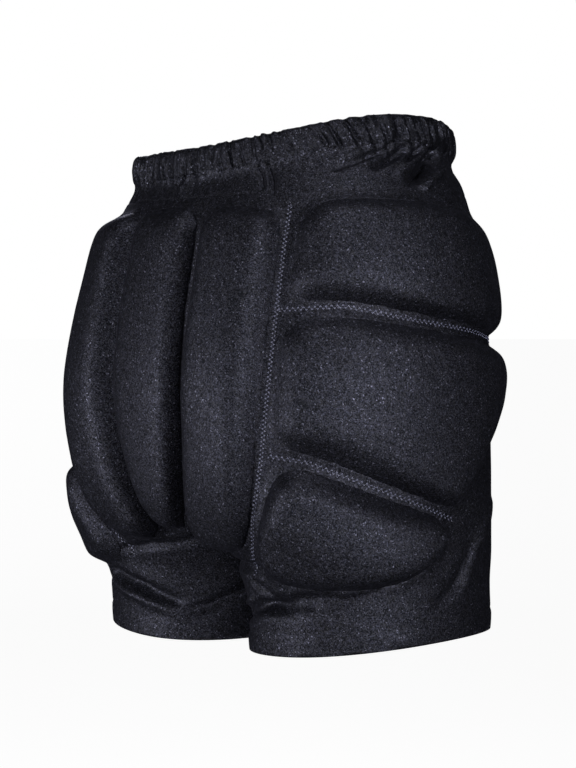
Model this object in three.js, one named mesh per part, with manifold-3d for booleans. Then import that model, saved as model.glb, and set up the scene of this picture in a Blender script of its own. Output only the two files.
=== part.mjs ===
// Padded sports shorts, modelled as worn: a stretch fabric body in two halves that meet along the
// centre seam, a gathered waistband, turned hems, and nine foam pads over the tailbone, seat, hips,
// sides and thighs.
// Millimetres, +Z up. The wearer faces -Y and the wearer's left is +X.
// The origin is inside the waist opening, half way up the waistband.

import * as THREE from "three";
import { mergeGeometries, mergeVertices } from "three/addons/utils/BufferGeometryUtils.js";
import Module from "manifold-3d";

// Driving dimensions

const waistWidth = 250;
const waistDepth = 194;
const waistForward = 6; // how far the waist sits ahead of the hips
const hipWidth = 336;
const hipDepth = 246;
const legSpacing = 166; // between the centres of the two legs
const bodyDrop = 360; // waist level to hem
const fabricWall = 2;
const sectionSquareness = 2.2; // 2 is an ellipse

const bandHeight = 25;
const bandWall = 3.4; // folded casing with its elastic
const bandPuff = 3; // how far the casing stands out between its edges
const gatherCount = 44;
const gatherDepth = 1.5;

const waistMeanSeam = 12; // the band's seam below the waist level
const waistBackDip = 2.5; // how far the seam sinks at the back
const waistSideRise = 6; // how far it climbs over both hips
const waistSlope = 8; // how much higher it sits on the wearer's right

const hemHeight = 15;
const hemWall = 2.8; // fabric turned up double
const hemSideRise = 5.5; // the hem sits higher on the outside of the thigh
const hemFrontRise = 3.5; // and higher in front than behind
const hemArch = 2; // and higher at both sides than between them
const hemSlope = 4; // how much lower the left hem sits

const seatPadThickness = 18;
const tailbonePadThickness = 15;
const sidePadThickness = 13.5;
const thighPadThickness = 18;
const padCrown = 2; // extra thickness at the middle of a pad
const padFlank = 16; // width of a full sloping edge
const padCorner = 18; // length cut off a full corner

const seamGap = 0.3; // clearance between pieces that are sewn together
const midOverlap = 1; // how far the two sides run past the middle before they are joined

// Mesh fineness

const halfSteps = 36; // round one leg
const bodyRows = 16;
const bandStepsPerGather = 3;
const padStepLength = 23;

// The body's sections, from the waist to the hem. level is a share of bodyDrop. centre and inner are
// shares of half the leg spacing: the section's own middle, and its reach from there towards the
// other leg. side is the outer reach as a share of half the hip width, and back and front are
// shares of half the hip depth.
const bodySections = [
  { level: 0.0, centre: 0.0, inner: 1.58, side: 0.76, back: 0.81, front: 0.81 },
  { level: 0.09, centre: 0.06, inner: 1.7, side: 0.9, back: 0.955, front: 0.825 },
  { level: 0.21, centre: 0.24, inner: 1.8, side: 0.95, back: 1.005, front: 0.825 },
  { level: 0.355, centre: 0.48, inner: 1.85, side: 0.99, back: 1.08, front: 0.84 },
  { level: 0.48, centre: 0.66, inner: 1.8, side: 1.0, back: 1.115, front: 0.835 },
  { level: 0.61, centre: 0.8, inner: 1.51, side: 0.995, back: 1.075, front: 0.825 },
  { level: 0.71, centre: 0.89, inner: 1.25, side: 1.0, back: 1.01, front: 0.81 },
  { level: 0.8, centre: 0.97, inner: 1.03, side: 1.0, back: 0.89, front: 0.79 },
  { level: 0.86, centre: 1.02, inner: 0.985, side: 1.0, back: 0.81, front: 0.77 },
  { level: 0.926, centre: 1.05, inner: 0.97, side: 1.0, back: 0.77, front: 0.755 },
  { level: 1.0, centre: 1.06, inner: 0.96, side: 0.995, back: 0.75, front: 0.74 },
];

// Folds of the loose fabric. turn is in degrees round the leg from the back, level a share of
// bodyDrop, length a share of bodyDrop, width a share of bodyDrop, depth a share of foldDepth
// (below 0 for a crease), slant in degrees up from the level.
const foldDepth = 4;
const folds = [
  { turn: 335, level: 0.9, length: 0.09, width: 0.022, depth: -1, slant: 18 },
  { turn: 350, level: 0.935, length: 0.08, width: 0.02, depth: 0.5, slant: 24 },
  { turn: 60, level: 0.915, length: 0.16, width: 0.02, depth: 0.4, slant: 12 },
  { turn: 120, level: 0.85, length: 0.12, width: 0.026, depth: -0.5, slant: -20 },
  { turn: 165, level: 0.8, length: 0.14, width: 0.03, depth: -0.6, slant: -32 },
  { turn: 190, level: 0.7, length: 0.14, width: 0.03, depth: 0.6, slant: -40 },
];

// Pad outlines, as corners in order. turn is in degrees round the waist from the centre back, level
// a share of bodyDrop, corner a share of padCorner and flank a share of padFlank.
const padOutlines = {
  tailbone: [
    { turn: -15.5, level: 0.106, corner: 0.9, flank: 0.6 },
    { turn: 15.5, level: 0.106, corner: 0.9, flank: 0.6 },
    { turn: 14.5, level: 0.36, corner: 2, flank: 0.4 },
    { turn: 13.5, level: 0.59, corner: 2, flank: 0.4 },
    { turn: 7, level: 0.775, corner: 0.7, flank: 0.4 },
    { turn: -7, level: 0.775, corner: 0.7, flank: 0.4 },
    { turn: -13.5, level: 0.59, corner: 2, flank: 0.4 },
    { turn: -14.5, level: 0.36, corner: 2, flank: 0.4 },
  ],
  seat: [
    { turn: 19.5, level: 0.106, corner: 0.8, flank: 0.5 },
    { turn: 47, level: 0.111, corner: 0.8, flank: 1 },
    { turn: 43.5, level: 0.36, corner: 2, flank: 1.2 },
    { turn: 40.5, level: 0.61, corner: 2, flank: 1 },
    { turn: 36.5, level: 0.8, corner: 0.9, flank: 0.5 },
    { turn: 26, level: 0.82, corner: 1.2, flank: 0.4 },
    { turn: 12.5, level: 0.795, corner: 1, flank: 0.4 },
    { turn: 17, level: 0.61, corner: 2, flank: 0.4 },
    { turn: 18, level: 0.36, corner: 2, flank: 0.4 },
  ],
  hip: [
    { turn: 50.5, level: 0.108, corner: 0.9, flank: 1 },
    { turn: 62, level: 0.093, corner: 1, flank: 0.7 },
    { turn: 92, level: 0.096, corner: 2, flank: 0.9 },
    { turn: 124, level: 0.138, corner: 2, flank: 1.5 },
    { turn: 137, level: 0.19, corner: 1, flank: 1.4 },
    { turn: 139, level: 0.388, corner: 0.7, flank: 0.6 },
    { turn: 126, level: 0.384, corner: 1.6, flank: 0.5 },
    { turn: 77, level: 0.328, corner: 2, flank: 0.7 },
    { turn: 62, level: 0.306, corner: 2, flank: 0.9 },
    { turn: 46.5, level: 0.312, corner: 0.6, flank: 1.1 },
  ],
  side: [
    { turn: 45.5, level: 0.333, corner: 0.7, flank: 1.2 },
    { turn: 62, level: 0.324, corner: 2, flank: 0.9 },
    { turn: 77, level: 0.348, corner: 2, flank: 0.7 },
    { turn: 122, level: 0.403, corner: 1.6, flank: 0.5 },
    { turn: 131, level: 0.416, corner: 0.7, flank: 0.6 },
    { turn: 117, level: 0.515, corner: 1.6, flank: 0.8 },
    { turn: 103, level: 0.63, corner: 1.6, flank: 0.8 },
    { turn: 93, level: 0.728, corner: 0.8, flank: 0.5 },
    { turn: 69, level: 0.657, corner: 2, flank: 0.9 },
    { turn: 53, level: 0.607, corner: 1.6, flank: 1.3 },
    { turn: 43, level: 0.594, corner: 0.8, flank: 1.3 },
  ],
  thigh: [
    { turn: 46, level: 0.614, corner: 0.5, flank: 0.9 },
    { turn: 53, level: 0.623, corner: 1, flank: 1.2 },
    { turn: 69, level: 0.674, corner: 2, flank: 1.2 },
    { turn: 91, level: 0.741, corner: 0.5, flank: 0.5 },
    { turn: 89.5, level: 0.79, corner: 1, flank: 0.5 },
    { turn: 81, level: 0.852, corner: 2, flank: 0.4 },
    { turn: 60, level: 0.876, corner: 2, flank: 0.4 },
    { turn: 42, level: 0.864, corner: 1, flank: 0.4 },
    { turn: 36.5, level: 0.83, corner: 1, flank: 0.4 },
    { turn: 41, level: 0.71, corner: 1.6, flank: 0.5 },
  ],
};

// How a pad's edge rises: across is a share of its flank, height a share of its thickness.
const flankProfile = [
  { across: 0.0, height: 0.16 },
  { across: 0.3, height: 0.52 },
  { across: 0.64, height: 0.86 },
  { across: 1.0, height: 1.0 },
];
const padSink = 4; // how far a pad's blank reaches into the body before it is cut back

const left = 1;
const right = -1;

const wasm = await Module();
wasm.setup();

// Materials

const lycra = new THREE.MeshStandardMaterial({ color: 0x1b1c24, roughness: 0.62, metalness: 0 });
const paddedLycra = new THREE.MeshStandardMaterial({ color: 0x1f2029, roughness: 0.6, metalness: 0 });
const elasticCasing = new THREE.MeshStandardMaterial({ color: 0x18191f, roughness: 0.7, metalness: 0 });

// The body's surface

const sectionLevels = bodySections.map((row) => row.level);
const sectionValues = bodySections.flatMap((row) => {
  const half = legSpacing / 2;
  return [
    row.centre * half,
    row.inner * half,
    row.side * (hipWidth / 2),
    row.back * (hipDepth / 2),
    row.front * (hipDepth / 2),
  ];
});
const sectionCurve = new THREE.CubicInterpolant(sectionLevels, sectionValues, 5);

// Half a section of the body at height z. Near the waist it is the waist's own oval.
function sectionAt(z) {
  const level = THREE.MathUtils.clamp(-z / bodyDrop, 0, 1);
  const [centre, inner, side, back, front] = sectionCurve.evaluate(level);
  const waist = 1 - THREE.MathUtils.smoothstep(level, 0, sectionLevels[2]);
  return {
    centre,
    inner,
    side: THREE.MathUtils.lerp(side, (waistWidth / 2) * (side / sectionValues[2]), waist),
    back: THREE.MathUtils.lerp(back, (waistDepth / 2 - waistForward) * (back / sectionValues[3]), waist),
    front: THREE.MathUtils.lerp(front, (waistDepth / 2 + waistForward) * (front / sectionValues[4]), waist),
  };
}

function superPower(value) {
  return Math.sign(value) * Math.abs(value) ** (2 / sectionSquareness);
}

// Depth of the folds at an angle round the leg and a height, outwards positive.
function foldAt(angle, z) {
  let sum = 0;
  for (const fold of folds) {
    const turn = angle - THREE.MathUtils.degToRad(fold.turn) + Math.PI;
    const along = ((THREE.MathUtils.euclideanModulo(turn, 2 * Math.PI) - Math.PI) * legSpacing) / 2;
    const up = z + fold.level * bodyDrop;
    const slant = THREE.MathUtils.degToRad(fold.slant);
    const length = (along * Math.cos(slant) + up * Math.sin(slant)) / (fold.length * bodyDrop);
    const width = (up * Math.cos(slant) - along * Math.sin(slant)) / (fold.width * bodyDrop);
    sum += fold.depth * foldDepth * Math.exp(-length * length - width * width);
  }
  return sum;
}

// A point on one half of the body. The angle runs round the leg from the back (0) by the outside
// (a quarter turn) to the front, and grow moves the point outwards.
function bodyPoint(side, angle, z, grow) {
  const section = sectionAt(z);
  const across = superPower(Math.sin(angle));
  const along = superPower(Math.cos(angle));
  const out = grow + foldAt(angle, z);
  const reach = across >= 0 ? section.side - section.centre : section.inner;
  const depth = along >= 0 ? section.back : section.front;
  return new THREE.Vector3(side * (section.centre + across * (reach + out)), along * (depth + out), z);
}

// Height of the band's seam round the waist, for one half of the body.
function waistSeam(side, angle) {
  const dip = waistBackDip * Math.cos(angle) + waistSideRise * Math.cos(2 * angle);
  return -waistMeanSeam - dip - side * waistSlope * Math.sin(angle);
}

function hemLine(side, angle) {
  const rise = hemSideRise * Math.sin(angle) - hemFrontRise * Math.cos(angle);
  const arch = hemArch * Math.sin(angle) ** 2;
  return -bodyDrop + rise + arch - (side === left ? hemSlope : 0);
}

// Distance from the vertical axis to the body's surface, bridging the hollow between the legs.
function bridgedRadius(turn, z) {
  const section = sectionAt(z);
  const sine = Math.abs(Math.sin(turn));
  const cosine = Math.abs(Math.cos(turn));
  const depth = Math.cos(turn) >= 0 ? section.back : section.front;
  if (depth * sine <= section.centre * cosine) return depth / cosine;
  let low = 0;
  let high = hipWidth;
  while (high - low > 0.001) {
    const middle = (low + high) / 2;
    const across = Math.max(middle * sine - section.centre, 0) / (section.side - section.centre);
    const along = (middle * cosine) / depth;
    if (across ** sectionSquareness + along ** sectionSquareness < 1) low = middle;
    else high = middle;
  }
  return low;
}

// Geometry helpers

// Joins rings of points into one skin. Two poles close its ends. Without them the last ring joins
// the first, or both ends stay open.
function skin(rings, mirrored, poles, open = false) {
  const count = rings[0].length;
  const points = rings.flat();
  const index = [];
  const addFace = (a, b, c) => index.push(...(mirrored ? [a, c, b] : [a, b, c]));
  const spans = poles || open ? rings.length - 1 : rings.length;
  for (let row = 0; row < spans; row++) {
    const below = row * count;
    const above = ((row + 1) % rings.length) * count;
    for (let i = 0; i < count; i++) {
      const next = (i + 1) % count;
      addFace(below + i, below + next, above + next);
      addFace(below + i, above + next, above + i);
    }
  }
  if (poles) {
    const last = (rings.length - 1) * count;
    for (let i = 0; i < count; i++) {
      const next = (i + 1) % count;
      addFace(points.length, next, i);
      addFace(points.length + 1, last + i, last + next);
    }
    points.push(...poles);
  }
  const geometry = new THREE.BufferGeometry().setFromPoints(points);
  geometry.setIndex(index);
  return geometry;
}

// Joins rows of points into a sheet.
function sheet(rows, mirrored) {
  const count = rows[0].length;
  const index = [];
  for (let row = 0; row + 1 < rows.length; row++) {
    for (let i = 0; i + 1 < count; i++) {
      const a = row * count + i;
      const b = a + 1;
      const c = a + count + 1;
      const d = a + count;
      index.push(...(mirrored ? [a, c, b, a, d, c] : [a, b, c, a, c, d]));
    }
  }
  const geometry = new THREE.BufferGeometry().setFromPoints(rows.flat());
  geometry.setIndex(index);
  return geometry;
}

function middleOf(ring) {
  const sum = new THREE.Vector3();
  for (const point of ring) sum.add(point);
  return sum.divideScalar(ring.length);
}

function toSolid(geometry) {
  const merged = mergeVertices(geometry, 1e-4);
  return new wasm.Manifold(
    new wasm.Mesh({
      numProp: 3,
      vertProperties: merged.attributes.position.array,
      triVerts: new Uint32Array(merged.index.array),
    }),
  );
}

function toGeometry(solid) {
  const mesh = solid.getMesh();
  const geometry = new THREE.BufferGeometry();
  geometry.setAttribute("position", new THREE.BufferAttribute(mesh.vertProperties, 3));
  geometry.setIndex(new THREE.BufferAttribute(mesh.triVerts, 1));
  return geometry;
}

function piece(name, geometry, material) {
  geometry.computeVertexNormals();
  const mesh = new THREE.Mesh(geometry, material);
  mesh.name = name;
  return mesh;
}

// Body

// One side of the body as a solid, from a height above the band's seam to one over the hem.
function sideSolid(side, grow, above, below) {
  const rings = [];
  for (let row = 0; row <= bodyRows; row++) {
    const ring = [];
    for (let step = 0; step < halfSteps; step++) {
      const angle = (2 * Math.PI * step) / halfSteps;
      const top = waistSeam(side, angle) + above;
      const bottom = hemLine(side, angle) + below;
      const z = THREE.MathUtils.lerp(bottom, top, row / bodyRows);
      ring.push(bodyPoint(side, angle, z, grow));
    }
    rings.push(ring);
  }
  const poles = [middleOf(rings[0]), middleOf(rings[bodyRows])];
  return toSolid(skin(rings, side === left, poles)).trimByPlane([side, 0, 0], -midOverlap);
}

function wholeSolid(grow, above, below) {
  return sideSolid(left, grow, above, below).add(sideSolid(right, grow, above, below));
}

function bodyOutside(grow) {
  return wholeSolid(grow, -seamGap, hemHeight + seamGap);
}

const bodyShell = bodyOutside(0).subtract(wholeSolid(-fabricWall, bandHeight, -hemHeight));

function bodyHalf(side) {
  return toGeometry(bodyShell.trimByPlane([side, 0, 0], seamGap / 2).simplify(seamGap / 4));
}

// Waistband

// The casing's cross-section: out is a share of bandPuff, in a share of bandWall, up a share of
// bandHeight, and gather how much of the gathers shows there.
const bandProfile = [
  { out: 0.1, in: 0, up: 0, gather: 0.3 },
  { out: 0.9, in: 0, up: 0.2, gather: 1 },
  { out: 1, in: 0, up: 0.55, gather: 1 },
  { out: 0.75, in: 0, up: 0.88, gather: 1 },
  { out: 0, in: 0.5, up: 1, gather: 0.7 },
  { out: 0, in: 1, up: 0.85, gather: 0.3 },
  { out: 0, in: 1, up: 0, gather: 0.1 },
];

// Gathers vary in pitch and depth round the waist, in a pattern that repeats each time round.
function gatherAt(angle) {
  const drift = 1.1 * Math.sin(3 * angle) + 0.7 * Math.sin(7 * angle + 1);
  const swell = 0.75 + 0.25 * Math.sin(5 * angle + 2);
  return swell * Math.sin(gatherCount * angle + drift);
}

function waistband() {
  const rings = [];
  const steps = gatherCount * bandStepsPerGather;
  for (let step = 0; step < steps; step++) {
    const turn = (2 * Math.PI * step) / steps;
    const side = Math.sin(turn) >= 0 ? left : right;
    const angle = side === left ? turn : 2 * Math.PI - turn;
    const gather = gatherDepth * gatherAt(turn);
    const seam = waistSeam(side, angle);
    rings.push(
      bandProfile.map((row) => {
        const grow = row.out * bandPuff - row.in * bandWall + row.gather * gather;
        const base = bodyPoint(side, angle, Math.min(seam, 0), grow);
        return base.setZ(seam + THREE.MathUtils.lerp(seamGap, bandHeight, row.up));
      }),
    );
  }
  return skin(rings, false, null);
}

// Hems

// The turned-up hem's cross-section: out is a share of hemWall, up a share of hemHeight.
const hemProfile = [
  { out: 0.1, up: 0 },
  { out: 0.3, up: 0.15 },
  { out: 0.3, up: 0.8 },
  { out: 0, up: 1 },
  { out: -0.7, up: 1 },
  { out: -0.7, up: 0 },
];

function legHem(side) {
  const rings = [];
  for (let step = 0; step < halfSteps; step++) {
    const angle = (2 * Math.PI * step) / halfSteps;
    const bottom = hemLine(side, angle);
    rings.push(
      hemProfile.map((row) => {
        const z = bottom + row.up * hemHeight;
        return bodyPoint(side, angle, z, row.out * hemWall);
      }),
    );
  }
  return skin(rings, side === right, null);
}

// Pads

// A rounded outline through a pad's corners, on the body's unrolled surface, with the width of the
// flank at each point.
function roundedOutline(corners) {
  const unroll = hipWidth / 2;
  const flat = corners.map((row) => {
    const turn = THREE.MathUtils.degToRad(row.turn);
    return new THREE.Vector2(turn * unroll, -row.level * bodyDrop);
  });
  const path = new THREE.Path();
  const marks = [];
  flat.forEach((point, i) => {
    const before = flat[(i + flat.length - 1) % flat.length];
    const after = flat[(i + 1) % flat.length];
    const cut = corners[i].corner * padCorner;
    const into = Math.min(cut, point.distanceTo(before) / 2);
    const away = Math.min(cut, point.distanceTo(after) / 2);
    const start = before.clone().sub(point).setLength(into).add(point);
    const end = after.clone().sub(point).setLength(away).add(point);
    if (i === 0) path.moveTo(start.x, start.y);
    else path.lineTo(start.x, start.y);
    const reached = i === 0 ? 0 : path.getLength();
    path.quadraticCurveTo(point.x, point.y, end.x, end.y);
    path.updateArcLengths();
    marks.push({ at: (reached + path.getLength()) / 2, flank: corners[i].flank * padFlank });
  });
  path.closePath();
  path.updateArcLengths();
  const length = path.getLength();
  const steps = 2 * Math.round(length / padStepLength / 2);
  const points = path.getSpacedPoints(steps).slice(0, steps);
  const flanks = points.map((_, i) => flankAt((length * i) / steps, marks, length));
  return { points, flanks, unroll };
}

// The width of the flank part of the way along an outline, between the corners' own widths.
function flankAt(at, marks, length) {
  const found = marks.findIndex((mark) => mark.at > at);
  const next = marks[Math.max(found, 0)];
  const last = marks.at(found < 0 ? -1 : found - 1);
  const span = THREE.MathUtils.euclideanModulo(next.at - last.at, length);
  const passed = THREE.MathUtils.euclideanModulo(at - last.at, length);
  return THREE.MathUtils.lerp(last.flank, next.flank, passed / span);
}

// Moves each point of a closed outline inwards by its own distance.
function insetPoints(points, distances) {
  return points.map((point, i) => {
    const before = points[(i + points.length - 1) % points.length];
    const after = points[(i + 1) % points.length];
    const along = after.clone().sub(before).normalize();
    return new THREE.Vector2(along.y, -along.x).multiplyScalar(distances[i]).add(point);
  });
}

// Fills a closed outline with a grid of points, its first and third sides across points long.
function fillOutline(points, across) {
  const down = points.length / 2 - across;
  const at = (i) => points[i % points.length];
  const sides = (row, column) => [
    at(column),
    at(2 * across + down - column),
    at(points.length - row),
    at(across + row),
  ];
  const cell = (row, column) => {
    const [u, v] = [column / across, row / down];
    const middle = 4 * Math.sqrt(u * (1 - u) * v * (1 - v));
    const [above, below, before, after] = sides(row, column);
    if (row === 0) return { point: above, middle };
    if (row === down) return { point: below, middle };
    if (column === 0) return { point: before, middle };
    if (column === across) return { point: after, middle };
    const point = new THREE.Vector2();
    point.addScaledVector(above, 1 - v).addScaledVector(below, v);
    point.addScaledVector(before, 1 - u).addScaledVector(after, u);
    point.addScaledVector(at(0), -(1 - u) * (1 - v)).addScaledVector(at(across), -u * (1 - v));
    point.addScaledVector(at(across + down), -u * v).addScaledVector(at(2 * across + down), -(1 - u) * v);
    return { point, middle };
  };
  const count = (total) => [...Array(total + 1).keys()];
  return count(down).map((row) => count(across).map((column) => cell(row, column)));
}

const padSeat = bodyOutside(seamGap);

// A pad: a flank rising from its outline, and a crowned top. Its floor is cut to fit the body.
function pad(corners, side, thickness, acrossShare) {
  const { points, flanks, unroll } = roundedOutline(corners);
  const across = Math.round((points.length / 2) * acrossShare);
  const raise = (flat, height) => {
    const turn = flat.x / unroll;
    const radius = bridgedRadius(turn, flat.y) + height;
    return new THREE.Vector3(side * radius * Math.sin(turn), radius * Math.cos(turn), flat.y);
  };

  const rings = [points.map((point) => raise(point, -padSink))];
  for (const row of flankProfile) {
    const inset = insetPoints(points, flanks.map((flank) => flank * row.across));
    rings.push(inset.map((point) => raise(point, row.height * thickness)));
  }
  const floor = fillOutline(points, across).map((line) => line.map(({ point }) => raise(point, -padSink)));
  const top = fillOutline(insetPoints(points, flanks), across).map((line) => {
    return line.map(({ point, middle }) => raise(point, thickness + padCrown * middle));
  });
  const mirrored = side === right;
  const parts = [skin(rings, mirrored, null, true), sheet(floor, !mirrored), sheet(top, mirrored)];
  const blank = toSolid(mergeGeometries(parts));
  return toGeometry(blank.subtract(padSeat).simplify(seamGap / 3));
}

// Assembly

const shorts = new THREE.Group();
shorts.add(
  piece("waistband", waistband(), elasticCasing),
  piece("tailbone_pad", pad(padOutlines.tailbone, left, tailbonePadThickness, 0.25), paddedLycra),
);
for (const [name, side] of Object.entries({ left, right })) {
  shorts.add(
    piece(`body_${name}`, bodyHalf(side), lycra),
    piece(`leg_hem_${name}`, legHem(side), lycra),
    piece(`seat_pad_${name}`, pad(padOutlines.seat, side, seatPadThickness, 0.25), paddedLycra),
    piece(`hip_pad_${name}`, pad(padOutlines.hip, side, sidePadThickness, 0.75), paddedLycra),
    piece(`side_pad_${name}`, pad(padOutlines.side, side, sidePadThickness, 0.62), paddedLycra),
    piece(`thigh_pad_${name}`, pad(padOutlines.thigh, side, thighPadThickness, 0.75), paddedLycra),
  );
}

export default shorts;
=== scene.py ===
# Padded sports shorts in black lycra, in the shape they have when worn: foam pads sewn on a stretch
# body, under a gathered waistband. The wearer faces -Y, and the camera stands behind their right.
import math

import bmesh
import bpy
import numpy as np
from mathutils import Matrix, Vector
from mathutils.bvhtree import BVHTree


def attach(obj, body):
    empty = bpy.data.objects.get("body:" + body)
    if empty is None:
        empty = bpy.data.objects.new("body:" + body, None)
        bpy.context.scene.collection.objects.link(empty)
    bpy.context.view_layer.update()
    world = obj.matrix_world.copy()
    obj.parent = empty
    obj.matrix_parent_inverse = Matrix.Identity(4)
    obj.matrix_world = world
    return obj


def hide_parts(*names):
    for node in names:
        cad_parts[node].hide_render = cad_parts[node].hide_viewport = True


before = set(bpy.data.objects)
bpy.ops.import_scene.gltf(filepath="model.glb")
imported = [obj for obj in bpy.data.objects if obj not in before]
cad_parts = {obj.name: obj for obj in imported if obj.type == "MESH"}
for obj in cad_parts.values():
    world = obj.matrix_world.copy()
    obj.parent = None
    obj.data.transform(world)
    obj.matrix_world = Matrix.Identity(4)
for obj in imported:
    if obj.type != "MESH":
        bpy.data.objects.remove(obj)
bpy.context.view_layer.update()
scene = bpy.context.scene
mm = 0.001
bodyDrop = 0.360  # waist level to hem
sides = {"left": 1, "right": -1}
print("frame loaded")


def toLinear(hexColour):
    channels = [int(hexColour[i:i + 2], 16) / 255 for i in (1, 3, 5)]
    linear = [c / 12.92 if c <= 0.04045 else ((c + 0.055) / 1.055) ** 2.4 for c in channels]
    return (*linear, 1.0)


# Materials

def addNode(tree, kind, settings=None, links=None):
    node = tree.nodes.new(kind)
    for name, value in (settings or {}).items():
        if isinstance(name, str) and hasattr(node, name):
            setattr(node, name, value)
        else:
            node.inputs[name].default_value = value
    for name, source in (links or {}).items():
        tree.links.new(source, node.inputs[name])
    return node


def newMaterial(name):
    material = bpy.data.materials.new(name)
    material.use_nodes = True
    material.node_tree.nodes.clear()
    return material, material.node_tree


# Lycra, a warp knit of nylon and elastane with bright filaments: a soft satin gloss on near black,
# with fine points of light where a filament lies flat
lycraLook = {
    "dark": "#040405", "light": "#0d0e10", "glint": "#414146", "blueGlint": "#494a59",
    "roughness": 0.62, "specular": 0.2, "index": 1.45, "sheenTint": "#bcbcc8",
    "glintPitch": 0.75 * mm,  # real filaments are finer, and drawn as coarse as they need to show
    "glintSize": (1.5, 0.3),  # a glint fades out and is whole at these distances from its middle
    "glintMetal": 8.0,
    "spark": "#86879c", "sparkFrom": 0.92,  # few filaments lie flat enough to spark
    "knitPitch": 1.0 * mm, "knitRange": (0.3, 0.7), "bump": 0.22, "bumpDepth": 0.25 * mm,
    "patchPitch": 22 * mm, "patchShare": 0.45, "shadeRange": (0.1, 1.35),
    "driftPitch": 5 * mm, "driftReach": 4 * mm,
}


def lycra(name, look, changes=None):
    look = {**look, **(changes or {})}
    material, tree = newMaterial(name)
    straight = addNode(tree, "ShaderNodeTexCoord").outputs["Object"]
    # the knit drifts by a thread or so, which breaks up rings where a surface lies along an axis
    drift = addNode(tree, "ShaderNodeTexNoise", {"Scale": 1 / look["driftPitch"]},
                    {"Vector": straight})
    place = addNode(tree, "ShaderNodeVectorMath",
                    {"operation": "MULTIPLY_ADD", 1: (look["driftReach"],) * 3},
                    {0: drift.outputs["Color"], 2: straight}).outputs[0]
    patches = addNode(tree, "ShaderNodeTexNoise",
                      {"Scale": 1 / look["patchPitch"], "Detail": 3.0}, {"Vector": place})
    weave = addNode(tree, "ShaderNodeTexNoise",
                    {"Scale": 1 / look["knitPitch"], "Detail": 2.0, "Roughness": 0.7},
                    {"Vector": place})
    low, high = look["knitRange"]
    spread = addNode(tree, "ShaderNodeMapRange", {"From Min": low, "From Max": high},
                     {"Value": weave.outputs["Fac"]})
    cells = addNode(tree, "ShaderNodeTexVoronoi", {"Scale": 1 / look["glintPitch"]},
                    {"Vector": place})
    chance = addNode(tree, "ShaderNodeSeparateColor", {}, {"Color": cells.outputs["Color"]})
    faded, whole = look["glintSize"]
    spot = addNode(tree, "ShaderNodeMapRange", {"From Min": faded, "From Max": whole},
                   {"Value": cells.outputs["Distance"]})
    glint = addNode(tree, "ShaderNodeMath", {"operation": "MULTIPLY"},
                    {0: chance.outputs["Red"], 1: spot.outputs["Result"]})
    tone = addNode(tree, "ShaderNodeMath", {"operation": "MULTIPLY_ADD", 1: look["patchShare"]},
                   {0: patches.outputs["Fac"], 2: spread.outputs["Result"]})
    low, high = look["shadeRange"]
    shade = addNode(tree, "ShaderNodeMapRange", {"From Min": low, "From Max": high},
                    {"Value": tone.outputs[0]})
    cloth = addNode(tree, "ShaderNodeMix",
                    {"data_type": "RGBA", 6: toLinear(look["dark"]), 7: toLinear(look["light"])},
                    {0: shade.outputs["Result"]})
    hue = addNode(tree, "ShaderNodeMix",
                  {"data_type": "RGBA", 6: toLinear(look["glint"]), 7: toLinear(look["blueGlint"])},
                  {0: chance.outputs["Green"]})
    rare = addNode(tree, "ShaderNodeMapRange", {"From Min": look["sparkFrom"], "From Max": 1.0},
                   {"Value": chance.outputs["Blue"]})
    flecked = addNode(tree, "ShaderNodeMix", {"data_type": "RGBA", 7: toLinear(look["spark"])},
                      {0: rare.outputs["Result"], 6: hue.outputs[2]})
    bright = addNode(tree, "ShaderNodeMix", {"data_type": "RGBA"},
                     {0: glint.outputs[0], 6: cloth.outputs[2], 7: flecked.outputs[2]})
    bump = addNode(tree, "ShaderNodeBump",
                   {"Strength": look["bump"], "Distance": look["bumpDepth"]},
                   {"Height": weave.outputs["Fac"]})
    metal = addNode(tree, "ShaderNodeMath",
                    {"operation": "MULTIPLY", "use_clamp": True, 1: look["glintMetal"]},
                    {0: glint.outputs[0]})
    shader = addNode(tree, "ShaderNodeBsdfPrincipled",
                     {"Roughness": look["roughness"], "IOR": look["index"],
                      "Specular IOR Level": look["specular"],
                      "Specular Tint": toLinear(look["sheenTint"])},
                     {"Base Color": bright.outputs[2], "Metallic": metal.outputs[0],
                      "Normal": bump.outputs["Normal"]})
    addNode(tree, "ShaderNodeOutputMaterial", {}, {"Surface": shader.outputs["BSDF"]})
    return material


# Polyester sewing thread, twisted: a little paler and glossier than the fabric it is sewn in
threadLook = {"dark": "#444656", "light": "#7e809a", "twistPitch": 0.8 * mm, "roughness": 0.38,
              "index": 1.5}


def sewingThread():
    material, tree = newMaterial("polyester_thread")
    place = addNode(tree, "ShaderNodeTexCoord").outputs["Object"]
    twist = addNode(tree, "ShaderNodeTexNoise", {"Scale": 1 / threadLook["twistPitch"]},
                    {"Vector": place})
    colour = addNode(tree, "ShaderNodeMix",
                     {"data_type": "RGBA", 6: toLinear(threadLook["dark"]),
                      7: toLinear(threadLook["light"])},
                     {0: twist.outputs["Fac"]})
    shader = addNode(tree, "ShaderNodeBsdfPrincipled",
                     {"Roughness": threadLook["roughness"], "IOR": threadLook["index"]},
                     {"Base Color": colour.outputs[2]})
    addNode(tree, "ShaderNodeOutputMaterial", {}, {"Surface": shader.outputs["BSDF"]})
    return material


bodyLycra = lycra("lycra_knit", lycraLook)
padLycra = lycra("lycra_over_foam", lycraLook, {"light": "#0e0f12"})
bandLycra = lycra("lycra_casing", lycraLook, {"glint": "#38383c", "blueGlint": "#40414e"})
threadMaterial = sewingThread()
print("materials made")


# Mesh helpers

def newObject(name, mesh):
    piece = bpy.data.objects.new(name, mesh)
    scene.collection.objects.link(piece)
    return piece


def intoObject(form, name):
    mesh = bpy.data.meshes.new(name)
    form.to_mesh(mesh)
    form.free()
    return newObject(name, mesh)


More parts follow.
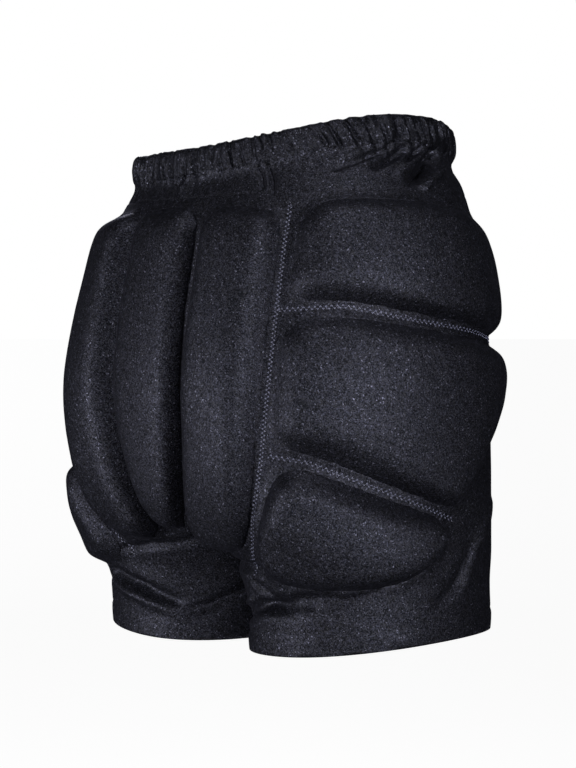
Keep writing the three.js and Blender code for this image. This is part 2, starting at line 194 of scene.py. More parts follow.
def copyOf(nodes):
    # the CAD's mesh of these nodes, with the points joined that neighbouring faces share
    form = bmesh.new()
    for node in nodes:
        form.from_mesh(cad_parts[node].data)
    bmesh.ops.remove_doubles(form, verts=form.verts, dist=0.02 * mm)
    return form


def applyModifiers(piece):
    graph = bpy.context.evaluated_depsgraph_get()
    mesh = bpy.data.meshes.new_from_object(piece.evaluated_get(graph))
    piece.modifiers.clear()
    piece.data = mesh


def remesh(piece, voxel):
    modifier = piece.modifiers.new("remesh", "REMESH")
    modifier.mode = "VOXEL"
    modifier.voxel_size = voxel
    applyModifiers(piece)


def smooth(piece, times):
    form = bmesh.new()
    form.from_mesh(piece.data)
    for _ in range(times):
        bmesh.ops.smooth_vert(form, verts=form.verts, factor=0.5, use_axis_x=True,
                              use_axis_y=True, use_axis_z=True)
    form.to_mesh(piece.data)
    form.free()


def pointsOf(mesh):
    points = np.empty(len(mesh.vertices) * 3)
    mesh.vertices.foreach_get("co", points)
    return points.reshape(-1, 3)


def normalsOf(mesh):
    normals = np.empty(len(mesh.vertices) * 3)
    mesh.vertex_normals.foreach_get("vector", normals)
    return normals.reshape(-1, 3)


def movePoints(mesh, points):
    mesh.vertices.foreach_set("co", points.ravel())
    mesh.update()


def shadeSmooth(piece):
    piece.data.polygons.foreach_set("use_smooth", [True] * len(piece.data.polygons))


def finishPiece(piece, material, nodes):
    piece.data.materials.clear()
    piece.data.materials.append(material)
    shadeSmooth(piece)
    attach(piece, "root")
    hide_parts(*nodes)


# How far out the middle of each leg lies, in half spacings, at shares of the drop from waist to hem
legLevels = [0, 0.09, 0.21, 0.355, 0.48, 0.61, 0.71, 0.8, 0.86, 0.926, 1.0]
legCentres = [0, 0.06, 0.24, 0.48, 0.66, 0.8, 0.89, 0.97, 1.02, 1.05, 1.06]
legHalfSpacing = 0.083


def legCentre(z):
    return np.interp(-z / bodyDrop, legLevels, legCentres) * legHalfSpacing


def bandSeam(turn):
    # height of the band's seam. turn runs from the centre back to the wearer's right, in radians
    dip = 2.5 * np.cos(turn) + 6 * np.cos(2 * turn)
    return (-12 - dip + 8 * np.sin(turn)) * mm


# Body: a skin of stretch knit with turned hems, shaped whole and then parted at its centre seam

shell = {
    "voxel": 2.65 * mm, "smoothing": 8, "wall": 1.2 * mm, "hemWall": 2.4 * mm,
    "outerFrom": 0.12,  # a face that turns outwards less than this is inner wall or rim
    "seamFaces": 0.2 * mm,  # faces as near the middle as this lie in the centre seam
    "waistAbove": -0.04, "waistRun": 0.022,  # where the waist's rim is, and how far it runs on
    "fineAbove": -0.046,  # the fabric above this has the small folds
    "underBand": 5 * mm,  # how far the fabric runs up inside the band
    # the seam above the pads: below the waist, how far it rises at the sides, its groove
    "yokeSeam": 34 * mm, "yokeRise": 3.5 * mm, "yokeDepth": 0.5 * mm, "yokeWidth": 0.9 * mm,
}
hem = {
    "depth": 15 * mm, "sideSlope": 0.0692, "backSlope": -0.03825, "leftDrop": 4 * mm,
    "arch": 2 * mm, "archFade": 50 * mm, "reach": 79.5 * mm, "middle": 1.06 * legHalfSpacing,
    "rimBelow": -0.35, "rimRun": -0.012, "hub": -0.375,  # the leg's open end, run on and closed
    "cutBelow": -0.33, "foldBelow": -0.31,  # legs only: nothing else hangs as low
    "swell": 0.4 * mm, "swellOver": 0.8 * mm, "seamDepth": 0.6 * mm, "seamWidth": 1.6 * mm,
}


def outerSkin():
    form = copyOf(["body_left", "body_right", "leg_hem_left", "leg_hem_right"])
    form.normal_update()
    inner = []
    for face in form.faces:
        middle = face.calc_center_median()
        side = 1 if middle.x > 0 else -1
        outwards = Vector((middle.x - side * legCentre(middle.z), middle.y, 0)).normalized()
        if face.normal.dot(outwards) < shell["outerFrom"] or abs(middle.x) < shell["seamFaces"]:
            inner.append(face)
    bmesh.ops.delete(form, geom=inner, context="FACES")
    rim = rimEdges(form, lambda at: at.z > shell["waistAbove"])
    closeOpening(form, rim, shell["waistRun"], Vector((0, 0, shell["waistRun"])))
    for side in sides.values():
        rim = rimEdges(form, lambda at: at.z < hem["rimBelow"] and at.x * side > 0)
        closeOpening(form, rim, hem["rimRun"], Vector((side * hem["middle"], 0, hem["hub"])))
    return intoObject(form, "shorts_body")


def rimEdges(form, wanted):
    return [edge for edge in form.edges
            if edge.is_boundary and wanted((edge.verts[0].co + edge.verts[1].co) / 2)]


def closeOpening(form, rim, run, hub):
    # runs an opening's edge straight on, then closes it to a point
    for target in (None, hub):
        made = bmesh.ops.extrude_edge_only(form, edges=rim)["geom"]
        verts = [part for part in made if isinstance(part, bmesh.types.BMVert)]
        rim = [part for part in made if isinstance(part, bmesh.types.BMEdge)]
        for vert in verts:
            vert.co = vert.co + Vector((0, 0, run)) if target is None else target


def finerYoke(piece):
    form = bmesh.new()
    form.from_mesh(piece.data)
    yoke = [face for face in form.faces if face.calc_center_median().z > shell["fineAbove"]]
    edges = list(dict.fromkeys(edge for face in yoke for edge in face.edges))
    bmesh.ops.subdivide_edges(form, edges=edges, cuts=1, use_grid_fill=True, smooth=0.6)
    form.to_mesh(piece.data)
    form.free()


def treeOf(piece):
    return BVHTree.FromObject(piece, bpy.context.evaluated_depsgraph_get())


body = outerSkin()
remesh(body, shell["voxel"])
smooth(body, shell["smoothing"])
skinTree = treeOf(body)
print("body skin", len(body.data.vertices))


def onSkin(turn, level, legSide=None, tree=None):
    # a point of the skin. turn is in degrees from the centre back: round the waist towards the
    # wearer's right, or round one leg towards its outside
    angle = math.radians(turn)
    z = -level * bodyDrop
    if legSide is None:
        start, ray = Vector((0, 0, z)), Vector((-math.sin(angle), math.cos(angle), 0))
    else:
        start = Vector((legSide * legCentre(z), 0, z))
        ray = Vector((legSide * math.sin(angle), math.cos(angle), 0))
    spot, normal, _, _ = (tree or skinTree).ray_cast(start, ray)
    return spot, normal


# Pads: lycra drawn over foam, blown out a little by cloth pressure and held at its seams

pads = {
    "voxel": 3.2 * mm, "smoothing": 2, "pressure": 4, "frames": 20,
    "held": 3 * mm, "cap": 2.0 * mm,  # sewn down below this height, and blown out no further
    # how high the drawn fabric stands, at shares of the foam's own height
    "foam": [0.0, 0.16, 0.34, 0.52, 0.7, 0.86, 1.0],
    "fabric": [0.0, 0.04, 0.13, 0.3, 0.54, 0.78, 1.0],
    "leftThighDrop": 5 * mm,  # the pad hangs lower on this leg
    # feet sink wholly into the body below the first height, and not at all above the second
    "sink": 0.4 * mm, "sunkBelow": (2.2 * mm, 4.0 * mm),
    "outerFrom": -0.3, "floor": 0.1 * mm,  # what faces the body, or touches it, isn't draped
}
padThickness = {
    "tailbone": 15 * mm, "seat": 18 * mm, "hip": 13.5 * mm, "side": 13.5 * mm, "thigh": 18 * mm,
}
padNames = ["tailbone_pad"]
padNames += [f"{name}_pad_{side}" for side in sides for name in ("seat", "hip", "side", "thigh")]


def heightsOver(points, tree):
    found = [tree.find_nearest(Vector(point)) for point in points]
    heights = np.array([(Vector(point) - spot).dot(normal)
                        for point, (spot, normal, _, _) in zip(points, found)])
    ups = np.array([normal for _, normal, _, _ in found])
    return heights, ups


def blowOut(pieces):
    for piece in pieces:
        cloth = piece.modifiers.new("cloth", "CLOTH")
        cloth.settings.use_pressure = True
        cloth.settings.uniform_pressure_force = pads["pressure"]
        cloth.settings.effector_weights.gravity = 0
        cloth.settings.vertex_group_mass = "sewn"
        cloth.point_cache.frame_start = 1
        cloth.point_cache.frame_end = pads["frames"]
    for step in range(1, pads["frames"] + 1):
        scene.frame_set(step)
    for piece in pieces:
        applyModifiers(piece)
    scene.frame_set(1)


def makePads():
    pieces = {}
    for name in padNames:
        piece = intoObject(copyOf([name]), name.replace("_pad", "_cushion"))
        remesh(piece, pads["voxel"])
        smooth(piece, pads["smoothing"])
        heights, _ = heightsOver(pointsOf(piece.data), skinTree)
        held = piece.vertex_groups.new(name="sewn")
        held.add([int(i) for i in np.where(heights < pads["held"])[0]], 1, "REPLACE")
        pieces[name] = piece
    before = {name: pointsOf(piece.data) for name, piece in pieces.items()}
    blowOut(pieces.values())
    for name, piece in pieces.items():
        points = pointsOf(piece.data)
        moved = points - before[name]
        length = np.linalg.norm(moved, axis=1)[:, None]
        points = before[name] + moved * np.minimum(1, pads["cap"] / np.maximum(length, 1e-9))
        heights, ups = heightsOver(points, skinTree)
        thick = padThickness[name.split("_")[0]]
        drawn = np.interp(heights / thick, pads["foam"], pads["fabric"]) * thick
        drop = np.where(heights < thick, heights - drawn, 0)
        points -= ups * drop[:, None]
        if name == "thigh_pad_left":
            points[:, 2] -= pads["leftThighDrop"]
        movePoints(piece.data, points)
    return pieces


cushions = makePads()
print("pads blown out")


# The surface that the stretched fabric takes over body, pads and band together

drape = {
    "voxel": 2.4 * mm, "smoothing": 13,
    "back": 1.5 * mm, "search": 0.03,  # looked for from this far inside the body, over this length
    "low": 3.0 * mm, "fall": 3.0 * mm,  # where it stands higher than low, a pad covers the body
    "rounds": 2,
}


def drapeTree():
    form = bmesh.new()
    form.from_mesh(body.data)
    for piece in cushions.values():
        form.from_mesh(piece.data)
    form.from_mesh(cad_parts["waistband"].data)
    whole = intoObject(form, "drape")
    remesh(whole, drape["voxel"])
    smooth(whole, drape["smoothing"])
    tree = treeOf(whole)
    bpy.data.objects.remove(whole)
    return tree


finerYoke(body)
drapedTree = drapeTree()


def evenOut(mesh, values, rounds):
    # averages a value with those of each point's neighbours
    ends = np.empty(2 * len(mesh.edges), int)
    mesh.edges.foreach_get("vertices", ends)
    a, b = ends.reshape(-1, 2).T
    count = np.maximum(np.bincount(ends, minlength=len(values)), 1)
    for _ in range(rounds):
        total = np.bincount(a, values[b], len(values)) + np.bincount(b, values[a], len(values))
        values = 0.5 * values + 0.5 * total / count
    return values


def drawBodyOver():
    # lifts the body's fabric to the draped surface in the channels, and lets it fall under the pads
    points, normals = pointsOf(body.data), normalsOf(body.data)
    back, low, fall = drape["back"], drape["low"], drape["fall"]
    lift = np.zeros(len(points))
    for i, (point, normal) in enumerate(zip(points, normals)):
        start = Vector(point - normal * back)
        _, _, _, reach = drapedTree.ray_cast(start, Vector(normal), drape["search"])
        if reach is not None:
            lift[i] = reach - back
    lift = np.where(lift < low, lift, low * np.exp(-(lift - low) / fall))
    lift = evenOut(body.data, lift, drape["rounds"])
    movePoints(body.data, points + normals * lift[:, None])


def drawPadsOver():
    low, high = pads["sunkBelow"]
    for name, piece in cushions.items():
        points, normals = pointsOf(piece.data), normalsOf(piece.data)
        heights, ups = heightsOver(points, skinTree)
        draped = ((normals * ups).sum(1) > pads["outerFrom"]) & (heights > pads["floor"])
        for i in np.where(draped)[0]:
            spot, normal, _, _ = drapedTree.find_nearest(Vector(points[i]))
            sink = pads["sink"] * np.clip((high - heights[i]) / (high - low), 0, 1)
            points[i] = spot - normal * sink
        points[~draped] -= ups[~draped] * pads["sink"]
        movePoints(piece.data, points)
        finer = piece.modifiers.new("finer", "SUBSURF")
        finer.levels = finer.render_levels = 1
        applyModifiers(piece)
        finishPiece(piece, padLycra, [name])


drawBodyOver()
drawPadsOver()
print("pads done")


def distanceToPath(points, path):
    # distance of each point from a path, and how far along the path it lies
    best = np.full(len(points), np.inf)
    share = np.zeros(len(points))
    steps = [np.linalg.norm(b - a) for a, b in zip(path, path[1:])]
    total, reached = sum(steps), 0
    for a, b, step in zip(path, path[1:], steps):
        along = np.clip((points - a) @ (b - a) / step ** 2, 0, 1)
        away = np.linalg.norm(points - a - along[:, None] * (b - a), axis=1)
        closer = away < best
        best[closer] = away[closer]
        share[closer] = (reached + along[closer] * step) / total
        reached += step
    return best, share


# Creases and ridges of the loose fabric. Each has a path of (turn, level), as onSkin reads them,
# round the waist or round the leg on that side. Width and depth are in mm, and creases have a
# negative depth.
wrinkles = [
    {"path": [(82, 0.0), (72, 0.02), (63, 0.042)], "width": 2.5, "depth": -4.5},
    {"path": [(80, 0.0), (70, 0.012), (60, 0.032)], "width": 2.8, "depth": 2.1},
    {"path": [(88, 0.0), (82, 0.018), (75, 0.038)], "width": 2.8, "depth": -6.2},
    {"path": [(91, 0.008), (85, 0.028), (77, 0.05)], "width": 2.8, "depth": 3.4},
    {"path": [(95.5, 0.0), (91, 0.012), (86, 0.028)], "width": 2.3, "depth": -5.5},
    {"path": [(104, 0.0), (96, 0.028), (86, 0.066)], "width": 4.1, "depth": -11.4},
    {"path": [(99, 0.0), (92, 0.022), (82, 0.05)], "width": 3.0, "depth": 4.9},
    {"path": [(110, 0.01), (101, 0.042), (90, 0.078)], "width": 3.7, "depth": 5.5},
    {"path": [(114, 0.0), (108, 0.02), (101, 0.036)], "width": 2.5, "depth": -5.9},
    {"path": [(128, 0.01), (122, 0.03), (114, 0.055)], "width": 3.9, "depth": -6.2},
    {"path": [(40, 0.03), (42, 0.06), (43, 0.09)], "width": 1.8, "depth": -4.5},
    {"path": [(36, 0.03), (38, 0.055), (39.5, 0.08)], "width": 1.7, "depth": -3.4},
    {"path": [(-40, 0.06), (-44, 0.085)], "width": 2.3, "depth": -3.4},
    {"path": [(-78, 0.045), (-70, 0.06), (-62, 0.08)], "width": 2.8, "depth": -4.2},
    {"path": [(-90, 0.045), (-84, 0.06), (-77, 0.08)], "width": 3.0, "depth": -5.5},
    {"path": [(-104, 0.045), (-96, 0.065), (-86, 0.1)], "width": 4.1, "depth": -9.4},
    {"path": [(-98, 0.045), (-91, 0.062), (-82, 0.09)], "width": 3.0, "depth": 4.2},
    {"path": [(-122, 0.04), (-116, 0.06), (-108, 0.085)], "width": 3.4, "depth": -5.5},
    {"path": [(150, 0.03), (148, 0.06), (145, 0.1)], "width": 3.4, "depth": -3.8},
    {"path": [(-152, 0.04), (-149, 0.075), (-147, 0.11)], "width": 3.4, "depth": -3.8},
    {"path": [(172, 0.03), (173, 0.07)], "width": 3.4, "depth": -2.9},
    {"leg": -1, "path": [(-34, 0.925), (-11, 0.901), (16, 0.88)], "width": 3.4, "depth": 5.1},
    {"leg": -1, "path": [(-36, 0.945), (-8, 0.914), (22, 0.897)], "width": 4.6, "depth": -8.0},
    {"leg": -1, "path": [(20, 0.906), (40, 0.885), (60, 0.853)], "width": 2.6, "depth": -2.9},
    {"leg": -1, "path": [(-70, 0.9), (-45, 0.96), (-30, 0.975)], "width": 4.0, "depth": -3.8},
    {"leg": -1, "path": [(110, 0.8), (100, 0.86), (86, 0.9)], "width": 5.0, "depth": -3.8},
    {"leg": -1, "path": [(130, 0.72), (112, 0.8), (104, 0.86)], "width": 6.0, "depth": 3.8},
    {"leg": 1, "path": [(14, 0.893), (-8, 0.915), (-28, 0.945)], "width": 4.5, "depth": -8.0},
    {"leg": 1, "path": [(16, 0.915), (-6, 0.937), (-24, 0.962)], "width": 4.0, "depth": 4.8},
    {"leg": 1, "path": [(24, 0.92), (44, 0.9), (64, 0.87)], "width": 2.6, "depth": -2.9},
    {"leg": 1, "path": [(110, 0.8), (100, 0.86), (86, 0.9)], "width": 5.0, "depth": -3.8},
    {"leg": 1, "path": [(-70, 0.9), (-45, 0.95), (-30, 0.97)], "width": 4.0, "depth": -3.8},
    {"leg": -1, "path": [(-46, 0.825), (-20, 0.838), (0, 0.836)], "width": 4.6, "depth": -9.0},
    {"leg": -1, "path": [(-10, 0.866), (4, 0.892), (18, 0.886), (34, 0.88)], "width": 3.2,
     "depth": -5.0},
    {"leg": -1, "path": [(-12, 0.9), (2, 0.91), (12, 0.908)], "width": 5.0, "depth": -7.0},
    {"leg": -1, "path": [(22, 0.89), (49, 0.875), (69, 0.828), (80, 0.8)], "width": 1.9,
     "depth": -2.6},
    {"leg": 1, "path": [(8, 0.836), (-16, 0.822), (-36, 0.805)], "width": 3.0, "depth": -5.0},
    {"leg": 1, "path": [(22, 0.89), (49, 0.875), (69, 0.828), (80, 0.8)], "width": 1.9,
     "depth": -2.6},
]


# the part of a sine that each depth follows along its path, and its power
wrinkleEnds = {"start": 0.12, "span": 0.8, "power": 0.6}


def wrinkleDepth(points):
    # how far the ridges raise each point and the creases lower it
    depth = np.zeros(len(points))
    for row in wrinkles:
        path = [np.array(onSkin(turn, level, row.get("leg"))[0]) for turn, level in row["path"]]
        away, share = distanceToPath(points, path)
        along = np.clip(wrinkleEnds["start"] + wrinkleEnds["span"] * share, 0, 1)
        fade = np.sin(np.pi * along) ** wrinkleEnds["power"]
        depth += row["depth"] * mm * fade * np.exp(-(away / (row["width"] * mm)) ** 2)
    return depth


# Gathers of the waistband, scattered with a fixed seed: each has its place round the waist, the
# lean of its line, its depth, its width and the share of the band's height that it crosses.
# Lengths without a factor are in mm.
gathers = {
    "seed": 7, "waistLength": 700, "bandHeight": 25 * mm, "spacing": (5.5, 12.5), "lastGap": 5,
    "depth": (2.6, 5.6), "width": (1.5, 2.8),
    "fromSeam": 0.8, "seamStarts": (-0.1, 0.2), "lateStarts": (0.3, 0.5),
    "toRim": 0.6, "rimEnds": (0.8, 1.15), "earlyEnds": (0.5, 0.8), "endOver": 0.05,
    "lean": 11, "leanShare": (0.5, 1.3), "leanStray": (-1.5, 1.5),
    "ridge": 0.35, "ridgeWidth": 2.2,  # the fabric beside a gather stands out a little
    # how much the body's fabric follows the gathers, where it starts to, and where it does wholly
    "below": 0.3, "belowFrom": -0.42, "belowOver": 0.1, "fadeFrom": 24 * mm, "fadeOver": 18 * mm,
    "followOver": 3 * mm,
    # the elastic's own small puckers, along the seam of the band
    "puckerPitch": 3.1, "puckerDepth": 0.2 * mm, "puckerAt": 0.02, "puckerOver": 0.16,
}


def scatterGathers():
    dice = np.random.default_rng(gathers["seed"])
    rows, at = [], 0
    while at < gathers["waistLength"] - gathers["lastGap"]:
        turn = at / gathers["waistLength"] * 2 * math.pi
        starts = "seamStarts" if dice.random() < gathers["fromSeam"] else "lateStarts"
        low = dice.uniform(*gathers[starts])
        ends = "rimEnds" if dice.random() < gathers["toRim"] else "earlyEnds"
        high = dice.uniform(*gathers[ends])
        lean = gathers["lean"] * math.sin(turn) * dice.uniform(*gathers["leanShare"])
        lean += dice.uniform(*gathers["leanStray"])
        depth, width = dice.uniform(*gathers["depth"]), dice.uniform(*gathers["width"])
        rows.append({
            "turn": turn, "low": low, "high": high, "lean": lean, "depth": depth, "width": width,
        })
        at += dice.uniform(*gathers["spacing"])
    return rows


gatherRows = scatterGathers()


def turnOf(points):
    # in radians from the centre back to the wearer's right
    return np.arctan2(-points[:, 0], points[:, 1]) % (2 * math.pi)


def gatherDepth(points, below=False):
    # how far the gathers raise or lower each point, from its place round the waist and up the band
    turn = turnOf(points)
    up = (points[:, 2] - bandSeam(turn)) / gathers["bandHeight"]
    depth = np.zeros(len(points))
    radius = gathers["waistLength"] / 2 / math.pi
    for row in gatherRows:
        lean = row["lean"] / radius
        away = (turn - row["turn"] + lean * (up - 0.5) + math.pi) % (2 * math.pi) - math.pi
        across = away * radius / row["width"]
        if below:
            along = 1 / (1 + np.exp(-(up - gathers["belowFrom"]) / gathers["belowOver"]))
            along = along * (row["low"] < gathers["seamStarts"][1])
        else:
            along = 1 / (1 + np.exp(-(up - row["low"]) / gathers["endOver"]))
            along = along / (1 + np.exp((up - row["high"]) / gathers["endOver"]))
        ridge = gathers["ridge"] * np.exp(-(across / gathers["ridgeWidth"]) ** 2)
        depth -= row["depth"] * mm * along * (np.exp(-across ** 2) - ridge)
    wave = turn * radius * 2 * math.pi / gathers["puckerPitch"]
    puckers = np.sin(wave + 2 * np.sin(5 * turn))  # their spacing varies round the waist
    nearSeam = np.exp(-((up - gathers["puckerAt"]) / gathers["puckerOver"]) ** 2)
    return depth + gathers["puckerDepth"] * puckers * nearSeam


def hemHeight(points):
    # height above the hem's edge, which slopes up to the outside and the front
    side = np.where(points[:, 0] > 0, 1, -1)
    slope = hem["sideSlope"] * (side * points[:, 0] - hem["middle"])
    slope = slope + hem["backSlope"] * points[:, 1]
    return points[:, 2] + bodyDrop + np.where(side > 0, hem["leftDrop"], 0) - slope


def shapeBody():
    points, normals = pointsOf(body.data), normalsOf(body.data)
    depth = wrinkleDepth(points)
    turn = turnOf(points)
    overSeam = points[:, 2] - bandSeam(turn)
    nearBand = np.clip((overSeam + gathers["fadeFrom"]) / gathers["fadeOver"], 0, 1)
    inBand = np.clip(overSeam / gathers["followOver"], 0, 1)
    share = gathers["below"] * nearBand ** 2 + (1 - gathers["below"]) * inBand
    depth += gatherDepth(points, below=True) * share
    # the turned hem is twice as thick, and its seam pulls in a fine line
    height = hemHeight(points) - hem["depth"]
    isLeg = points[:, 2] < hem["foldBelow"]
    depth += isLeg * hem["swell"] / (1 + np.exp(height / hem["swellOver"]))
    depth -= isLeg * hem["seamDepth"] * np.exp(-(height / hem["seamWidth"]) ** 2)
    # the seam above the pads
    yoke = points[:, 2] + shell["yokeSeam"] - shell["yokeRise"] * np.sin(turn) ** 2
    depth -= shell["yokeDepth"] * np.exp(-(yoke / shell["yokeWidth"]) ** 2)
    movePoints(body.data, points + normals * depth[:, None])


def cutOpenings():
    form = bmesh.new()
    form.from_mesh(body.data)
    for side in sides.values():
        leg = [face for face in form.faces if face.calc_center_median().z < hem["cutBelow"]
               and face.calc_center_median().x * side > 0]
        geometry = leg + list(dict.fromkeys(edge for face in leg for edge in face.edges))
        geometry += list(dict.fromkeys(vert for face in leg for vert in face.verts))
        edge = (side * hem["middle"], 0, -bodyDrop - (hem["leftDrop"] if side > 0 else 0))
        bmesh.ops.bisect_plane(form, geom=geometry, dist=1e-6, plane_co=edge, clear_inner=True,
                               plane_no=(-side * hem["sideSlope"], -hem["backSlope"], 1))
    above = []
    for vert in form.verts:
        turn = math.atan2(-vert.co.x, vert.co.y)
        if vert.co.z > bandSeam(turn) + shell["underBand"]:
            above.append(vert)
    bmesh.ops.delete(form, geom=above, context="VERTS")
    form.normal_update()
    form.to_mesh(body.data)
    form.free()


def archHems():
    # each hem's edge curves up a little to both sides of its leg
    points = pointsOf(body.data)
    rise = hem["arch"] * ((np.abs(points[:, 0]) - hem["middle"]) / hem["reach"]) ** 2
    fade = np.clip(1 - hemHeight(points) / hem["archFade"], 0, 1) ** 2
    points[:, 2] += rise * fade
    movePoints(body.data, points)


def partBody():
    # two halves that meet at the centre seam, each with a wall and a doubled hem
    for name, side in sides.items():
        form = bmesh.new()
        form.from_mesh(body.data)
        everything = form.verts[:] + form.edges[:] + form.faces[:]
        bmesh.ops.bisect_plane(form, geom=everything, dist=1e-6, plane_co=(0, 0, 0),
                               plane_no=(-side, 0, 0), clear_outer=True)
        half = intoObject(form, f"shorts_{name}_half")
        points = pointsOf(half.data)
        low = (hemHeight(points) < hem["depth"]) & (points[:, 2] < hem["cutBelow"])
        doubled = half.vertex_groups.new(name="hem")
        doubled.add([int(i) for i in np.where(low)[0]], 1, "REPLACE")
        wall = half.modifiers.new("wall", "SOLIDIFY")
        wall.thickness = shell["hemWall"]
        wall.offset = -1
        wall.vertex_group = "hem"
        wall.thickness_vertex_group = shell["wall"] / shell["hemWall"]
        finishPiece(half, bodyLycra, [f"body_{name}", f"leg_hem_{name}"])
    bpy.data.objects.remove(body)


shapeBody()
bodyTree = treeOf(body)
cutOpenings()
archHems()
partBody()
print("body done")


# Waistband: a casing gathered on its elastic

band = {
    "voxel": 1.0 * mm, "smoothing": 16, "radius": 0.11,
    # the share of the gathers' depth that a face takes: little inside, all of it outside
    "least": 0.15, "edge": 0.5, "gain": 1.6,
}


def makeBand():
    piece = intoObject(copyOf(["waistband"]), "gathered_waistband")
    remesh(piece, band["voxel"])
    smooth(piece, band["smoothing"])
    points, normals = pointsOf(piece.data), normalsOf(piece.data)
    outwards = (normals[:, :2] * points[:, :2]).sum(1) / band["radius"]
    depth = gatherDepth(points) * np.clip(outwards * band["gain"] + band["edge"], band["least"], 1)
    movePoints(piece.data, points + normals * depth[:, None])
    finishPiece(piece, bandLycra, ["waistband"])


makeBand()
print("waistband done")


# Stitches: zigzag rows in the channels between pads

stitches = {"radius": 0.36, "stand": 0.3, "sunk": 0.6, "width": 2.6, "pitch": 3.0}  # in mm
# paths of (turn, level) on the wearer's right, mirrored to the left
seams = {
    "seat_side": [(48.6, 0.118), (47, 0.2), (45.2, 0.33), (43.2, 0.5), (41.6, 0.62), (38.8, 0.74),
                  (36.6, 0.85)],
    "hip_side": [(46, 0.3225), (62, 0.315), (77, 0.338), (100, 0.364), (122, 0.392), (137, 0.404)],
    "side_thigh": [(43.5, 0.604), (53, 0.615), (69, 0.666), (92, 0.738)],
}
pathScale = (2.2, 360)  # about how many mm a degree of turn and a whole level measure


def alongPath(path, step):
    # evenly spaced points of a path
    rows = np.array(path, float)
    flat = rows * pathScale
    reach = np.concatenate([[0], np.cumsum(np.linalg.norm(np.diff(flat, axis=0), axis=1))])
    count = max(2, round(reach[-1] / step))
    at = np.linspace(0, reach[-1], count)
    return [(np.interp(a, reach, rows[:, 0]), np.interp(a, reach, rows[:, 1])) for a in at]


def zigzag(name, path, mirror):
    spots = [onSkin(turn * mirror, level, tree=bodyTree)
             for turn, level in alongPath(path, stitches["pitch"] / 2)]
    spots = [spot for spot in spots if spot[0] is not None]
    curve = bpy.data.curves.new(name, "CURVE")
    curve.dimensions = "3D"
    curve.bevel_depth = stitches["radius"] * mm
    curve.bevel_resolution = 1
    line = curve.splines.new("POLY")
    line.points.add(2 * len(spots) - 2)
    half = stitches["width"] / 2 * mm
    tips = []
    for i, (spot, normal) in enumerate(spots):
        ahead = spots[min(i + 1, len(spots) - 1)][0] - spots[max(i - 1, 0)][0]
        aside = normal.cross(ahead).normalized()
        flat, up, _, _ = bodyTree.find_nearest(spot + aside * half * (1 if i % 2 else -1))
        tips.append((flat, up))
        line.points[2 * i].co = (*(flat + up * stitches["stand"] * mm), 1)
    # the thread runs under the fabric between its tips, which show as two rows of dots
    for i, ((flat, up), (nextFlat, _)) in enumerate(zip(tips, tips[1:])):
        line.points[2 * i + 1].co = (*((flat + nextFlat) / 2 - up * stitches["sunk"] * mm), 1)
    return newObject(name, curve)


def makeStitches():
    for name, path in seams.items():
        for side, mirror in (("left", -1), ("right", 1)):
            row = zigzag(f"stitches_{name}_{side}", path, mirror)
            row.data.materials.append(threadMaterial)
            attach(row, "root")


makeStitches()
print("stitches done")


# Stage: a pale round floor, soft lights and the camera

studio = {
    "floor": -0.78, "radius": 3.5, "rim": 0.6, "rimSteps": 6, "spokes": 64,
    "colour": "#9c9c9e", "unevenColour": "#a4a4a6", "unevenScale": 3.0, "roughness": 0.9,
    "glow": 0.95,  # only the camera sees the floor's glow and a white room
    "room": 0.01,  # all the light that the room itself gives
}


def makeStudio():
    # the floor rises a little at its rim
    form = bmesh.new()
    flat = studio["radius"] - studio["rim"]
    profile = [(0, 0), (flat * 0.5, 0), (flat, 0)]
    for step in range(1, studio["rimSteps"] + 1):
        angle = math.pi / 2 * step / studio["rimSteps"]
        rise = (1 - math.cos(angle)) * studio["rim"]
        profile.append((flat + math.sin(angle) * studio["rim"], rise))
    verts = [form.verts.new((x, 0, studio["floor"] + z)) for x, z in profile]
    edges = [form.edges.new(pair) for pair in zip(verts, verts[1:])]
    bmesh.ops.spin(form, geom=verts + edges, cent=(0, 0, 0), axis=(0, 0, 1), angle=2 * math.pi,
                   steps=studio["spokes"], use_merge=True)
    bmesh.ops.remove_doubles(form, verts=form.verts, dist=1e-5)
    bmesh.ops.recalc_face_normals(form, faces=form.faces)
    floor = intoObject(form, "studio_floor")
    shadeSmooth(floor)
    # Painted board: matt, with a faint unevenness. It glows, so that it looks white.
    material, tree = newMaterial("painted_board")
    place = addNode(tree, "ShaderNodeTexCoord").outputs["Object"]
    paint = addNode(tree, "ShaderNodeTexNoise", {"Scale": studio["unevenScale"]},
                    {"Vector": place})
    colour = addNode(tree, "ShaderNodeMix",
                     {"data_type": "RGBA", 6: toLinear(studio["colour"]),
                      7: toLinear(studio["unevenColour"])},
                     {0: paint.outputs["Fac"]})
    seen = addNode(tree, "ShaderNodeLightPath").outputs["Is Camera Ray"]
    glow = addNode(tree, "ShaderNodeMath", {"operation": "MULTIPLY", 1: studio["glow"]}, {0: seen})
    shader = addNode(tree, "ShaderNodeBsdfPrincipled",
                     {"Roughness": studio["roughness"], "Emission Color": (1, 1, 1, 1)},
                     {"Base Color": colour.outputs[2], "Emission Strength": glow.outputs[0]})
    addNode(tree, "ShaderNodeOutputMaterial", {}, {"Surface": shader.outputs["BSDF"]})
    floor.data.materials.append(material)


lightSpread = 50  # in degrees: each light keeps to the shorts, and the grooves fall in shadow
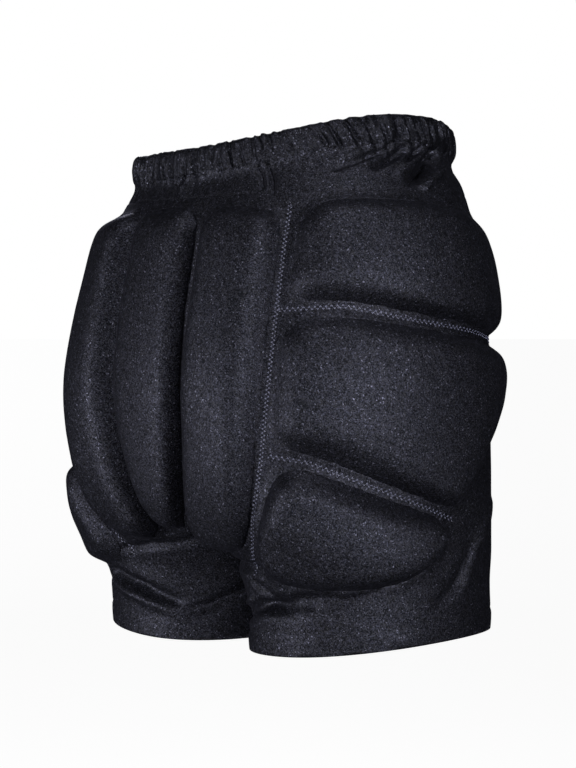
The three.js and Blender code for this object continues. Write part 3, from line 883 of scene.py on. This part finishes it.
# azimuth and elevation are in degrees, distance and size in metres
lights = [
    {"name": "key_light", "azimuth": 262, "elevation": 1, "distance": 2.4,
     "size": 0.35, "watts": 2.8},
    {"name": "top_light", "azimuth": 240, "elevation": 62, "distance": 2.2,
     "size": 0.6, "watts": 1.5},
    {"name": "left_light", "azimuth": 162, "elevation": -7, "distance": 2.4,
     "size": 0.45, "watts": 2.9},
    {"name": "front_light", "azimuth": 220, "elevation": -9, "distance": 2.0,
     "size": 0.5, "watts": 0.8},
    {"name": "far_light", "azimuth": 56, "elevation": 30, "distance": 2.8,
     "size": 0.8, "watts": 3.0},
]
view = {
    "azimuth": 230, "elevation": 2, "distance": 1.53, "target": (0, 0, -0.173),
    "lens": 92.4, "sensor": 36, "shift": -0.0091, "nearest": 0.05,
}


def standAt(holder, row):
    # puts a light or the camera at its row's angles and distance, facing the shorts
    a, e = math.radians(row["azimuth"]), math.radians(row["elevation"])
    outwards = Vector((math.sin(a) * math.cos(e), -math.cos(a) * math.cos(e), math.sin(e)))
    holder.location = Vector(view["target"]) + outwards * row["distance"]
    holder.rotation_euler = (-outwards).to_track_quat("-Z", "Y").to_euler()


def addLight(row):
    lamp = bpy.data.lights.new(row["name"], "AREA")
    lamp.shape = "DISK"
    lamp.size = row["size"]
    lamp.energy = row["watts"]
    lamp.spread = math.radians(lightSpread)
    holder = newObject(row["name"], lamp)
    holder.visible_camera = False
    standAt(holder, row)


def addCamera():
    lens = bpy.data.cameras.new("camera")
    lens.sensor_width = view["sensor"]
    lens.lens = view["lens"]
    lens.shift_x = view["shift"]
    lens.clip_start = view["nearest"]
    holder = newObject("camera", lens)
    standAt(holder, view)
    scene.camera = holder


def lightRoom():
    world = bpy.data.worlds.new("pale_room")
    world.use_nodes = True
    world.node_tree.nodes.clear()
    tree = world.node_tree
    seen = addNode(tree, "ShaderNodeLightPath").outputs["Is Camera Ray"]
    strength = addNode(tree, "ShaderNodeMapRange", {"To Min": studio["room"], "To Max": 1.0},
                       {"Value": seen})
    background = addNode(tree, "ShaderNodeBackground", {"Color": toLinear("#ffffff")},
                         {"Strength": strength.outputs[0]})
    addNode(tree, "ShaderNodeOutputWorld", {}, {"Surface": background.outputs[0]})
    scene.world = world
    scene.view_settings.view_transform = "Standard"


makeStudio()
for row in lights:
    addLight(row)
addCamera()
lightRoom()
print("stage done")
